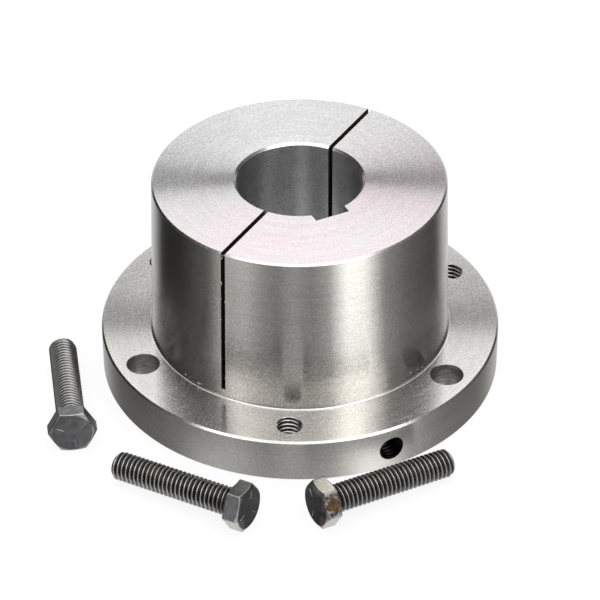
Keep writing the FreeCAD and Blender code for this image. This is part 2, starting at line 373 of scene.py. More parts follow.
def thread_tree():
    """A right-handed threaded rod along +Z, closed at both ends, with the height of its thread
    kept in the attribute crest, and the attribute thread at 1 all along it."""
    tree, node, given = new_tree("Threaded rod", THREAD_INPUTS)
    major, minor, pitch = given["Major Radius"], given["Minor Radius"], given["Pitch"]
    rod, columns = given["Length"], given["Columns"]
    turns = node("ShaderNodeMath", (rod, pitch), operation="DIVIDE")
    turns = node("ShaderNodeMath", (turns,), operation="CEIL")
    turns = node("ShaderNodeMath", (turns, 1.0))
    rows = node("ShaderNodeMath", (turns, STEPS_PER_PITCH), operation="MULTIPLY")
    grid = node("GeometryNodeMeshGrid", {
        "Size X": 1.0, "Size Y": turns,
        "Vertices X": node("ShaderNodeMath", (columns, 1.0)),
        "Vertices Y": node("ShaderNodeMath", (rows, 1.0))})
    # The grid is wound up: across it goes once round, and along it goes one pitch for a unit.
    place = node("ShaderNodeSeparateXYZ", (node("GeometryNodeInputPosition"),)).outputs
    share = node("ShaderNodeMath", (place["X"], 0.5))
    half = node("ShaderNodeMath", (turns, 0.5), operation="MULTIPLY")
    step = node("ShaderNodeMath", (place["Y"], half))
    # A 60 degree profile: the root is a quarter of the pitch wide and the crest an eighth.
    swing = node("ShaderNodeMath", (step, 0.5), operation="PINGPONG")
    height = node("ShaderNodeMapRange", (swing, 0.125, 0.4375, 0.0, 1.0))
    rise = node("ShaderNodeMath", (node("ShaderNodeMath", (step, share)), 1.0),
                operation="SUBTRACT")
    rise = node("ShaderNodeMath", (rise, pitch), operation="MULTIPLY")
    rise = node("ShaderNodeClamp", (rise, 0.0, rod))
    fade = node("ShaderNodeMapRange", (rise, 0.0, given["Run-out"], 0.0, 1.0),
                interpolation_type="SMOOTHSTEP")
    neck = node("ShaderNodeMapRange", (0.5, 0.0, 1.0, minor, major))
    cut = node("ShaderNodeMapRange", (height, 0.0, 1.0, minor, major))
    radius = node("ShaderNodeMapRange", (fade, 0.0, 1.0, neck, cut))
    cone = node("ShaderNodeMath", (
        node("ShaderNodeMath", (major, rod)),
        node("ShaderNodeMath", (given["Chamfer"], rise))), operation="SUBTRACT")
    radius = node("ShaderNodeMath", (radius, cone), operation="MINIMUM")
    turn = node("ShaderNodeMath", (share, 2 * math.pi), operation="MULTIPLY")
    spot = node("ShaderNodeVectorRotate", {
        "Vector": node("ShaderNodeCombineXYZ", (radius, 0, rise)), "Angle": turn},
        rotation_type="Z_AXIS")
    crest = node("ShaderNodeMath", (height, fade), operation="MULTIPLY")
    for title, value in (("crest", crest), ("thread", 1.0)):
        grid = node("GeometryNodeStoreNamedAttribute", {
            "Geometry": grid, "Name": title, "Value": value})
    wound = node("GeometryNodeSetPosition", {"Geometry": grid, "Position": spot})
    point_radius = node("ShaderNodeMath", (major, given["Chamfer"]), operation="SUBTRACT")
    back, front = [node("GeometryNodeMeshCircle", (columns, end), fill_type="TRIANGLE_FAN")
                   for end in (neck, point_radius)]
    back = node("GeometryNodeFlipFaces", (back,))
    front = node("GeometryNodeTransform", (front, node("ShaderNodeCombineXYZ", (0, 0, rod))))
    joined = node("GeometryNodeJoinGeometry", ([wound, back, front],))
    merged = node("GeometryNodeMergeByDistance", {"Geometry": joined, "Distance": 0.001 * MM})
    end_tree(node, node("GeometryNodeSetShadeSmooth", (merged,)), given["Finish"])
    return tree


def ring_tree():
    """Repeats a tool evenly on a circle round Z."""
    tree, node, given = new_tree("Ring of tools", {
        "Circle Radius": "Float", "Count": "Int", "First": "Float", "Finish": "Material"})
    circle = node("GeometryNodeMeshCircle", (given["Count"], given["Circle Radius"]))
    turned = node("GeometryNodeTransform", {
        "Geometry": circle, "Rotation": node("ShaderNodeCombineXYZ", (0, 0, given["First"]))})
    tools = node("GeometryNodeInstanceOnPoints", {
        "Points": turned, "Instance": given["Geometry"]})
    end_tree(node, tools, given["Finish"])
    return tree


# Finishes

# The range that most of a noise lies in.
USUAL = 0.3, 0.7


def new_material(name):
    """A material, what adds its nodes, and the point that it shades, on the object."""
    material = bpy.data.materials.new(name)
    material.use_nodes = True
    material.node_tree.nodes.clear()
    node = partial(add_node, material.node_tree)
    return material, node, node("ShaderNodeTexCoord").outputs["Object"]


def end_steel(node, bump, sockets):
    """End a steel's material; bump is the strength, depth and height of its relief."""
    relief = node("ShaderNodeBump", dict(zip(("Strength", "Distance", "Height"), bump)))
    shader = node("ShaderNodeBsdfPrincipled", {"Metallic": 1.0, "Normal": relief, **sockets})
    node("ShaderNodeOutputMaterial", (shader,))


def turned_steel(name, finishes, wall, rough, drawn):
    """Bare carbon steel, turned and faced: a mirror drawn out across its circular tool marks."""
    material, node, point = new_material(name)
    normal = node("ShaderNodeNewGeometry").outputs["Normal"]
    around = node("ShaderNodeVectorMath", ((0, 0, 1), point), operation="CROSS_PRODUCT")
    across = node("ShaderNodeVectorMath", (normal, around), operation="CROSS_PRODUCT")
    place = node("ShaderNodeSeparateXYZ", (point,)).outputs
    level = node("ShaderNodeCombineXYZ", (place["X"], place["Y"]))
    radius = node("ShaderNodeVectorMath", (level,), operation="LENGTH")
    reach = node("ShaderNodeMath", (radius, place["Z"]))
    # Feed marks are about 0.15 mm apart, and are drawn 0.6 mm apart so that they show. Each runs
    # on for some 8 mm of arc at the barrel before it fades. The grain is finer still on the real
    # one, and is drawn 0.55 mm across.
    apart, arcs, across_grain = 0.6 * MM, 6, 0.55 * MM
    climb = node("ShaderNodeMath", (reach, 1 / apart), operation="MULTIPLY")
    feed_point = node("ShaderNodeVectorMath", (
        node("ShaderNodeVectorMath", (level,), operation="NORMALIZE"), (arcs,) * 3,
        node("ShaderNodeCombineXYZ", (0, 0, climb))), operation="MULTIPLY_ADD")
    feed = node("ShaderNodeTexNoise", (feed_point, 1.0, 1.0))
    passes = node("ShaderNodeTexNoise", (reach, 1 / (3 * MM), 2.0), noise_dimensions="1D")
    grain = node("ShaderNodeTexNoise", (point, 1 / across_grain, 2.0))
    cloud = node("ShaderNodeTexNoise", (point, 1 / (14 * MM), 2.0))
    facing = node("ShaderNodeSeparateXYZ", (normal,)).outputs["Z"]
    facing = node("ShaderNodeMath", (facing,), operation="ABSOLUTE")
    facing = node("ShaderNodeMapRange", (facing, 0.2, 0.8, 0.0, 1.0))
    # Only the nose reaches this high. A painted pink reflection lies on its keyway side, the
    # half towards the camera.
    nose = node("ShaderNodeMapRange", (place["Z"], 60 * MM, 72 * MM, 0.0, 1.0))
    painted_pink_reflection = node("ShaderNodeMath", (
        node("ShaderNodeMapRange", (place["Y"], -22 * MM, 18 * MM, 1.0, 0.0)),
        node("ShaderNodeMapRange", (cloud, *USUAL, 0.3, 1.0))), operation="MULTIPLY")
    face = node("ShaderNodeMix", (painted_pink_reflection, finishes.steel_nose_painted_light, finishes.steel_painted_pink_reflection),
                data_type="RGBA")
    face = node("ShaderNodeMix", (nose, finishes.steel_face_painted_light, face), data_type="RGBA")
    # Painted light: flat faces take the lighter face tints, and the walls the darker wall tint.
    tint = node("ShaderNodeMix", (facing, wall, face), data_type="RGBA")
    # The nose is faced finer than the rest is turned, so its grain is fainter.
    faint = node("ShaderNodeMapRange", (nose, 0.0, 1.0, 0.72, 0.82))
    for pattern, least in ((grain, faint), (feed, 0.94), (passes, 0.96), (cloud, 0.93)):
        share = node("ShaderNodeMapRange", (pattern, *USUAL, least, 1.0))
        tint = node("ShaderNodeVectorMath", (tint, share), operation="SCALE")
    rough = node("ShaderNodeMapRange", (grain, *USUAL, *rough))
    # Handling has left fine scratches on the faces. They are drawn 0.3 mm wide so that they show.
    long, wide = 14 * MM, 0.3 * MM
    for lean, shift in ((0.5, 0.0), (-0.9, 0.3), (2.2, 0.6)):
        along = node("ShaderNodeMapping", {
            "Vector": point, "Rotation": (0, 0, lean), "Location": (shift, 0, 0),
            "Scale": (1 / long, 1 / wide, 0)})
        scratch = node("ShaderNodeTexNoise", (along, 1.0, 0.0))
        scratch = node("ShaderNodeMapRange", (scratch, 0.74, 0.80, 0.0, 0.08))
        scratch = node("ShaderNodeMath", (scratch, facing), operation="MULTIPLY")
        rough = node("ShaderNodeMath", (rough, scratch))
    ridges = node("ShaderNodeMath", (feed, grain))
    end_steel(node, (0.24, 0.01 * MM, ridges), {
        "Base Color": tint, "Roughness": rough, "Anisotropic": drawn, "Tangent": across})
    return material


def cut_steel(name, tint, rough, patch, strength):
    """Bare steel left by a drill, a tap or a saw: duller and blotched, with level marks, and
    with painted shade in a tapped thread's grooves.
    """
    material, node, point = new_material(name)
    blotch = node("ShaderNodeTexNoise", (point, 1 / patch, 3.0))
    fine = node("ShaderNodeTexNoise", (point, 5 / patch, 2.0))
    # A drill's marks are about 0.2 mm apart, and are drawn 0.7 mm apart so that they show. Each
    # runs on for about 5 mm.
    apart, long = 0.7 * MM, 5 * MM
    flat = node("ShaderNodeVectorMath", (point, (1 / long, 1 / long, 1 / apart)),
                operation="MULTIPLY")
    marks = node("ShaderNodeTexNoise", (flat, 1.0, 1.0))
    # A tapped hole's grooves, where the tap has left its crest at 1, are darkened nearly to
    # black: painted shade.
    crest = node("ShaderNodeAttribute", attribute_name="crest").outputs["Fac"]
    shade = tint[:3]
    for pattern in ((blotch, *USUAL, 0.72, 1.0), (marks, *USUAL, 0.5, 1.0),
                    (crest, 0.1, 0.6, 1.0, 0.06)):
        share = node("ShaderNodeMapRange", pattern)
        shade = node("ShaderNodeVectorMath", (shade, share), operation="SCALE")
    end_steel(node, (strength, 0.05 * MM, node("ShaderNodeMath", (fine, marks))), {
        "Base Color": shade, "Roughness": node("ShaderNodeMapRange", (fine, *USUAL, *rough))})
    return material


def blackened_steel(name, finishes, reflection_spots, rusty):
    """Rolled and blackened steel: a thin dark film, worn bright on the crests and edges, with old
    brown oil in patches of the roots and near-black painted shade in the rest of them. Some flats
    of the head are lightened as painted reflections, and others are rusty."""
    material, node, point = new_material(name)
    crest = node("ShaderNodeAttribute", attribute_name="crest").outputs["Fac"]
    thread = node("ShaderNodeAttribute", attribute_name="thread").outputs["Fac"]
    blotch = node("ShaderNodeTexNoise", (point, 1 / (2.5 * MM), 3.0))
    fine = node("ShaderNodeTexNoise", (point, 1 / (0.35 * MM), 2.0))
    dim = node("ShaderNodeMapRange", (blotch, *USUAL, 0.60, 1.0))
    film = node("ShaderNodeVectorMath", (finishes.black_steel[:3], dim), operation="SCALE")
    worn = node("ShaderNodeMath", (
        node("ShaderNodeMapRange", (crest, 0.5, 1.0, 0.0, 0.6)),
        node("ShaderNodeMapRange", (fine, *USUAL, 0.3, 1.0))), operation="MULTIPLY")
    # Painted reflections: the listed flats are lightened in blotches, in the same share as the
    # worn crests.
    for spot in reflection_spots:
        away = node("ShaderNodeVectorMath", (point, spot), operation="DISTANCE")
        flat_reflection_share = node("ShaderNodeMath", (
            node("ShaderNodeMapRange", (away, 3.4 * MM, 4.4 * MM, 1.0, 0.0)),
            node("ShaderNodeMapRange", (blotch, *USUAL, 0.75, 1.0))), operation="MULTIPLY")
        worn = node("ShaderNodeMath", (worn, flat_reflection_share), operation="MAXIMUM")
    tint = node("ShaderNodeMix", (worn, film, finishes.black_worn_and_reflection), data_type="RGBA")
    # The thread roots take old brown oil in patches and near-black painted shade between them.
    roots = node("ShaderNodeMath", (
        node("ShaderNodeMapRange", (crest, 0.0, 0.6, 1.0, 0.0)), thread), operation="MULTIPLY")
    oily = node("ShaderNodeTexNoise", (point, 1 / (9 * MM), 1.0))
    oily = node("ShaderNodeMapRange", (oily, 0.5, 0.65, 0.0, 1.0))
    oil = node("ShaderNodeMix", (oily, finishes.root_painted_shade, finishes.old_oil), data_type="RGBA")
    tint = node("ShaderNodeMix", (roots, tint, oil), data_type="RGBA")
    rough = node("ShaderNodeMapRange", (fine, *USUAL, 0.18, 0.32))
    metal = 1.0
    for spot in rusty:
        tint, rough, metal = rusted(node, point, finishes, spot, tint, rough)
    end_steel(node, (0.4, 0.02 * MM, fine), {
        "Base Color": tint, "Metallic": metal, "Roughness": rough})
    return material


def rusted(node, point, finishes, spot, tint, rough):
    """Lay a ragged patch of rust over a finish: its new tint, roughness and metallic share."""
    reach, dull, metal_left = 3.6 * MM, 0.75, 0.1
    away = node("ShaderNodeVectorMath", (point, spot), operation="DISTANCE")
    ragged = node("ShaderNodeTexNoise", (point, 1 / (1.1 * MM), 3.0))
    edge = node("ShaderNodeMapRange", (ragged, *USUAL, -0.45 * reach, 0.45 * reach))
    edge = node("ShaderNodeMath", (away, edge))
    share = node("ShaderNodeMapRange", (edge, 0.75 * reach, reach, 1.0, 0.0))
    flaked = node("ShaderNodeMix", (
        node("ShaderNodeMapRange", (ragged, *USUAL, 0.0, 1.0)),
        finishes.rust, finishes.rust_flakes), data_type="RGBA")
    return (node("ShaderNodeMix", (share, tint, flaked), data_type="RGBA"),
            node("ShaderNodeMix", (share, rough, dull)),
            node("ShaderNodeMapRange", (share, 0.0, 1.0, 1.0, metal_left)))


# The bushing

def turned_section(sizes):
    """The outline that is turned round Z: a flange, a tapered barrel and a bore."""
    bore, rim, top = sizes.bore_radius, sizes.rim_radius, sizes.overall_length
    face, fillet = sizes.flange_thickness, sizes.root_fillet
    lean = sizes.taper / 2
    slope = math.hypot(1, lean)
    centre = (sizes.barrel_radius + fillet * (slope - lean), face + fillet)
    tangent = math.atan2(-lean, -1)
    arc = []
    steps = 8
    for step in range(steps + 1):
        turn = -math.pi / 2 + (tangent + math.pi / 2) * step / steps
        arc.append((centre[0] + fillet * math.cos(turn), centre[1] + fillet * math.sin(turn)))
    nose = sizes.barrel_radius - lean * (top - face)
    support = 0.15 * MM                           # keeps the fillet's shading off flat and wall
    return [
        (bore + sizes.bore_break, 0),
        (rim - sizes.back_break, 0),
        (rim, sizes.back_break),
        (rim, face - sizes.rim_break),
        (rim - sizes.rim_break, face),
        (arc[0][0] + support, face),
        *arc,
        (arc[-1][0] - lean * support, arc[-1][1] + support),
        (nose + lean * sizes.nose_break, top - sizes.nose_break),
        (nose - sizes.nose_break, top),
        (bore + sizes.bore_break, top),
        (bore, top - sizes.bore_break),
        (bore, sizes.bore_break),
    ]


def drill_mesh(sizes, radius, wall):
    """A drill for the flange that also breaks both mouths of its hole; wall is its shank."""
    face, out = sizes.flange_thickness, 1 * MM
    mouth = radius + sizes.hole_break
    sink = mouth - wall
    return lathe([
        (0, -out), (mouth + out, -out), (wall, sink), (wall, face - sink),
        (mouth + out, face + out), (0, face + out),
    ], columns=64)


class BUSHING_OT_turn(bpy.types.Operator):
    """Turn the bushing, cut its keyway and saw cut, and drill and tap its holes"""
    bl_idname = "bushing.turn"
    bl_label = "Turned bushing"

    def execute(self, context):
        sizes, finishes = context.scene.bushing_sizes, context.scene.finishes
        wall, patch = finishes.steel_wall, 1.6 * MM
        steels = [
            turned_steel("turned_carbon_steel", finishes, wall, (0.15, 0.20), 1.0),
            cut_steel("drilled_carbon_steel", finishes.steel_drilled, (0.30, 0.5), patch, 1.0),
            cut_steel("sawn_carbon_steel", finishes.steel_sawn, (0.5, 0.7), 1.0 * MM, 0.5),
            turned_steel("rough_turned_carbon_steel", finishes, wall, (0.28, 0.34), 0.8),
            turned_steel("bored_carbon_steel", finishes, finishes.steel_bored, (0.26, 0.34), 0.5),
            cut_steel("tapped_carbon_steel", finishes.steel_tapped, (0.16, 0.28), patch, 0.2),
            cut_steel("near_black_carbon_steel", finishes.steel_near_black, (0.16, 0.28), patch, 0.2),
        ]
        drilled, sawn, rim, bored, tapped, near_black = 1, 2, 3, 4, 5, 6
        face, out = sizes.flange_thickness, 2 * MM
        top = sizes.overall_length + out
        thread = thread_tree()

        tap = self.make_tap(context, thread, face + 2 * out, out)
        tap.transform(Matrix.Translation((0, 0, -out)))
        drill = drill_mesh(sizes, sizes.clearance_radius, sizes.clearance_radius)
        sink = drill_mesh(sizes, sizes.tapped_radius, 0.9 * sizes.tapped_radius)
        ring = ring_tree()
        tools = [(run_tree(ring, tool, {
            "Circle Radius": sizes.hole_circle, "Count": sizes.holes_each, "First": first,
            "Finish": steels[finish]}), finish)
            for tool, first, finish in (
                (drill, math.pi, drilled), (tap, 0.0, tapped), (sink, 0.0, tapped))]

        inside = sizes.bore_radius - 1 * MM
        set_tap = self.make_tap(context, thread, sizes.rim_radius + out - inside, out)
        set_tap.transform(Matrix.Translation((0, -inside, face / 2))
                          @ Matrix.Rotation(math.pi / 2, 4, "X"))
        half, deep = sizes.keyway_width / 2, sizes.bore_radius + sizes.keyway_depth
        keyway = block((-half, -deep, -out), (half, 0, top))
        half, wide = sizes.saw_width / 2, sizes.rim_radius
        saw = block((-wide, -half, face + sizes.saw_rise), (wide, half, top))
        saw.transform(Matrix.Rotation(sizes.saw_turn, 4, "Z"))
        tools += [(set_tap, near_black), (keyway, drilled), (saw, sawn)]

        mesh = self.cut(context, lathe(turned_section(sizes), sizes.columns), tools, steels)
        for part in mesh.polygons:
            if part.material_index == 0 and abs(part.normal.z) < 0.02:
                away = part.center.xy.length
                if away > sizes.rim_radius - sizes.back_break:
                    part.material_index = rim
                elif away < sizes.bore_radius + sizes.bore_break / 2:
                    part.material_index = bored
        mesh.shade_smooth()
        mesh.set_sharp_from_angle(angle=math.radians(30))
        finish_piece("turned_bushing", mesh, steels, ["bushing"])
        return {"FINISHED"}

    def make_tap(self, context, thread, long, out):
        """A tap that cuts a thread for the cap screws."""
        screws = context.scene.screw_sizes
        return run_tree(thread, bpy.data.meshes.new("tap"), {
            "Major Radius": screws.major_radius,
            "Minor Radius": context.scene.bushing_sizes.tapped_radius,
            "Pitch": screws.pitch, "Length": long, "Run-out": out / 2, "Chamfer": 1.2 * MM,
            "Columns": screws.columns})

    def cut(self, context, blank, tools, steels):
        """Cut tools from a blank; each tool leaves its own finish."""
        blank = bpy.data.objects.new("blank", blank)
        context.scene.collection.objects.link(blank)
        for steel in steels:
            blank.data.materials.append(steel)
        for number, (tool, finish) in enumerate(tools):
            for steel in steels:
                tool.materials.append(steel)
            for part in tool.polygons:
                part.material_index = finish
            cutter = bpy.data.objects.new(f"tool {number}", tool)
            context.scene.collection.objects.link(cutter)
            cut = blank.modifiers.new("cut", "BOOLEAN")
            cut.operation = "DIFFERENCE"
            cut.solver = "MANIFOLD"
            cut.object = cutter
        mesh = plain_mesh(blank)
        for cut in list(blank.modifiers):
            bpy.data.objects.remove(cut.object)
        bpy.data.objects.remove(blank)
        return mesh


def burr_tree():
    """Small torn chips of metal on points, each turned and stretched its own way. The points
    keep their sizes in the attribute chip."""
    tree, node, given = new_tree("Burrs", {"Seed": "Int", "Finish": "Material"})
    chip = node("GeometryNodeMeshIcoSphere", {"Radius": 0.5, "Subdivisions": 1})
    turn, stretch = [node("FunctionNodeRandomValue", {
        "Min": low, "Max": high, "Seed": given["Seed"]}, data_type="FLOAT_VECTOR")
        for low, high in (((0, 0, 0), (6.28, 6.28, 6.28)), ((0.9, 0.4, 0.35), (1.7, 0.8, 0.7)))]
    size = node("GeometryNodeInputNamedAttribute", {"Name": "chip"})
    chips = node("GeometryNodeInstanceOnPoints", {
        "Points": given["Geometry"], "Instance": chip, "Rotation": turn,
        "Scale": node("ShaderNodeVectorMath", (stretch, size), operation="SCALE")})
    end_tree(node, chips, given["Finish"])
    return tree


class BUSHING_OT_burrs(bpy.types.Operator):
    """Leave the burrs on the saw cut's edges and a few chips at the barrel's foot"""
    bl_idname = "bushing.burrs"
    bl_label = "Burrs"

    def execute(self, context):
        sizes = context.scene.bushing_sizes
        face = sizes.flange_thickness
        steel = cut_steel("torn_carbon_steel", context.scene.finishes.burr, (0.3, 0.5),
                          1.0 * MM, 0.3)
        points, reaches = [], []
        for bearing, height, reach in BURRS:
            radius = sizes.barrel_radius - sizes.taper / 2 * (height * MM - face)
            points.append(polar(radius, math.radians(bearing), height * MM))
            reaches.append(reach * MM)
        points.append((*MOUTH_BURR[:2], face))
        reaches.append(MOUTH_BURR[2])
        mesh = bpy.data.meshes.new("burr places")
        mesh.from_pydata(points, [], [])
        mesh.attributes.new("chip", "FLOAT", "POINT").data.foreach_set("value", reaches)
        made = run_tree(burr_tree(), mesh, {"Seed": 7, "Finish": steel})
        finish_piece("burrs", made, [steel])
        return {"FINISHED"}


# The cap screws

def hexagon_radius(turn, apothem, rounding):
    """Distance from the axis to a hexagon with rounded corners and a flat towards +X."""
    sector = math.pi / 3
    off = abs((turn % sector) - sector / 2)       # 0 at a corner, 30 degrees at a flat's middle
    centre = (apothem - rounding) / math.cos(math.pi / 6)
    tangent = math.atan2(rounding / 2, centre + rounding * math.cos(math.pi / 6))
    if off > tangent:
        return apothem / math.cos(math.pi / 6 - off)
    return centre * math.cos(off) + math.sqrt(rounding ** 2 - (centre * math.sin(off)) ** 2)


def head_mesh(sizes):
    """A hexagon head: its crown, chamfered corners, flats, bearing face and fillet. Its edges
    are worn, which the attribute crest tells."""
    apothem, rounding = sizes.across_flats / 2, 0.45 * MM
    crown, top = sizes.crown_radius, -sizes.head_height
    rise = math.tan(sizes.crown_slope)
    bottom, washer = -sizes.washer_height, sizes.washer_radius
    neck = (sizes.major_radius + sizes.minor_radius) / 2
    offsets = (-30, -24, -17, -11, -7, -4, -2.2, -1, 0, 1, 2.2, 4, 7, 11, 17, 24)
    turns = [math.radians(30 + 60 * side + offset) for side in range(6) for offset in offsets]
    reaches = [hexagon_radius(turn, apothem, rounding) for turn in turns]
    soft = 0.16 * MM                              # how far the broken edges reach

    def circle(radius, height):
        return [(radius, height)] * len(turns)

    def slope(radius, drop=0):
        return radius, top + (radius - crown) * rise + drop

    rows = [
        circle(0.5 * crown, top),
        circle(crown - 0.2 * MM, top),
        circle(crown, top + 0.02 * MM),
        [slope(min(reach - 1.8 * soft, crown + 0.22 * MM)) for reach in reaches],
        [slope(reach - soft) for reach in reaches],
        [slope(reach - 0.3 * soft, 0.3 * soft) for reach in reaches],
        [slope(reach, soft) for reach in reaches],
        [slope(reach, 2.2 * soft) for reach in reaches],
        [(reach, bottom - 1.6 * soft) for reach in reaches],
        [(reach, bottom - soft) for reach in reaches],
        [(reach - 0.3 * soft, bottom - 0.3 * soft) for reach in reaches],
        [(reach - soft, bottom) for reach in reaches],
        circle(washer + 0.05 * MM, bottom),
        circle(washer, bottom + 0.05 * MM),
        circle(washer, -0.08 * MM),
        circle(washer - 0.1 * MM, 0),
        circle(neck + 0.8 * MM, 0),
        circle(neck + 0.28 * MM, 0.12 * MM),
        circle(neck + 0.08 * MM, 0.4 * MM),
        circle(neck - 0.1 * MM, 0.8 * MM),
        circle(neck - 0.4 * MM, 1.0 * MM),
    ]
    bm = bmesh.new()
    worn = bm.verts.layers.float.new("crest")
    rings = [[bm.verts.new(polar(radius, turn, height))
              for turn, (radius, height) in zip(turns, row)] for row in rows]
    for row in rings[4:7]:                        # the edge of the crown's chamfer
        for corner in row:
            corner[worn] = 0.8
    for row in rings[7:9]:                        # the hexagon's corners
        for place, corner in enumerate(row):
            corner[worn] = 0.9 if abs(offsets[place % len(offsets)]) <= 1 else 0
    ends = [[bm.verts.new((0, 0, height))] * len(turns) for height in (top, 1.0 * MM)]
    loft(bm, [ends[0], *rings, ends[1]])
    mesh = to_mesh(bm)
    mesh.set_sharp_from_angle(angle=math.radians(50))
    return mesh


def screw_tree(thread):
    """Joins a screw's head with its threaded rod and with three raised marks on its crown."""
    tree, node, given = new_tree("Cap screw", {
        **THREAD_INPUTS, "Head Height": "Float", "Mark Length": "Float", "Mark Width": "Float",
        "Mark Radius": "Float", "Mark Turn": "Float", "Marks": "Int"})
    rod = node("GeometryNodeGroup", {title: given[title] for title in THREAD_INPUTS},
               node_tree=thread)
    bead = node("GeometryNodeMeshUVSphere", {"Segments": 16, "Rings": 10, "Radius": 0.5})
    bead = node("GeometryNodeStoreNamedAttribute", {
        "Geometry": bead, "Name": "crest", "Value": 0.85})
    long, wide = given["Mark Length"], given["Mark Width"]
    shape = node("GeometryNodeTransform", {
        "Geometry": bead, "Scale": node("ShaderNodeCombineXYZ", (long, wide, wide))})
    circle = node("GeometryNodeMeshCircle", (given["Marks"], given["Mark Radius"]))
    down = node("ShaderNodeMath", (given["Head Height"], -1.0), operation="MULTIPLY")
    ring = node("GeometryNodeTransform", {
        "Geometry": circle, "Translation": node("ShaderNodeCombineXYZ", (0, 0, down)),
        "Rotation": node("ShaderNodeCombineXYZ", (0, 0, given["Mark Turn"]))})
    level = node("ShaderNodeVectorMath", (node("GeometryNodeInputPosition"), (1, 1, 0)),
                 operation="MULTIPLY")
    outward = node("FunctionNodeAlignRotationToVector", {"Vector": level}, axis="X",
                   pivot_axis="Z")
    marks = node("GeometryNodeInstanceOnPoints", {
        "Points": ring, "Instance": shape, "Rotation": outward})
    joined = node("GeometryNodeJoinGeometry", ([given["Geometry"], rod, marks],))
    end_tree(node, joined, given["Finish"])
    return tree


def lie_down(rim, sizes, bearing, gap, lead, hand):
    """Where a screw lies, resting on one flat of its head and on its point."""
    nearest = polar(1, bearing)
    ahead = Vector((-nearest.y, nearest.x, 0)) * hand
    rise = sizes.across_flats / 2 - sizes.major_radius
    run = sizes.under_head - sizes.point_chamfer + sizes.washer_height
    dip = math.atan2(rise, run)
    upright = Vector((0, 0, 1))
    axis = ahead * math.cos(dip) - upright * math.sin(dip)
    upper_flat = upright * math.cos(dip) + ahead * math.sin(dip)
    lift = sizes.across_flats / 2 * math.cos(dip) - sizes.washer_height * math.sin(dip)
    head = nearest * (rim + gap + sizes.major_radius) - ahead * lead + upright * lift
    turn = Matrix((upper_flat, axis.cross(upper_flat), axis)).transposed()
    return Matrix.Translation(head) @ turn.to_4x4()


class BUSHING_OT_screws(bpy.types.Operator):
    """Make the three cap screws and lay them beside the bushing"""
    bl_idname = "bushing.screws"
    bl_label = "Cap screws"

    def execute(self, context):
        sizes, finishes = context.scene.screw_sizes, context.scene.finishes
        rim = context.scene.bushing_sizes.rim_radius
        tree = screw_tree(bpy.data.node_groups["Threaded rod"])
        for name, (cad_node, bearing, gap, lead, hand, marks) in SCREW_PLACES.items():
            place = lie_down(rim, sizes, math.radians(bearing), gap * MM, lead * MM, hand)
            # Points on the flats that take painted reflections, and on the rusty one.
            reflection_spots, rusty = [
                [place @ polar(sizes.across_flats / 2, hand * math.radians(turn),
                               -sizes.head_height / 2) for turn in flats.get(name, ())]
                for flats in (PAINTED_REFLECTION_FLATS, RUSTY_FLATS)]
            steel = blackened_steel(name + "_blackened_steel", finishes, reflection_spots, rusty)
            mesh = run_tree(tree, head_mesh(sizes), {
                "Major Radius": sizes.major_radius, "Minor Radius": sizes.minor_radius,
                "Pitch": sizes.pitch, "Length": sizes.under_head, "Run-out": 1.6 * sizes.pitch,
                "Chamfer": sizes.point_chamfer, "Columns": sizes.columns, "Finish": steel,
                "Head Height": sizes.head_height, "Mark Length": 3.0 * MM,
                "Mark Width": 0.4 * MM, "Mark Radius": 4.3 * MM,
                "Mark Turn": math.radians(marks), "Marks": 3})
            mesh.transform(place)
            piece = finish_piece(name, mesh, [steel], [cad_node])
            for made, cad in zip(piece.bound_box[0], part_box(cad_node)[0]):
                if abs(made - cad) > 0.3 * MM:
                    raise RuntimeError(f"{name} doesn't lie where {cad_node} does")
        return {"FINISHED"}


# The stage

def camera_ray(node):
    """The light path's outputs, and whether a ray is the camera's own, also through glass."""
    ray = node("ShaderNodeLightPath").outputs
    return ray, node("ShaderNodeMath", (ray["Is Camera Ray"], ray["Is Transmission Ray"]),
                     operation="MAXIMUM")


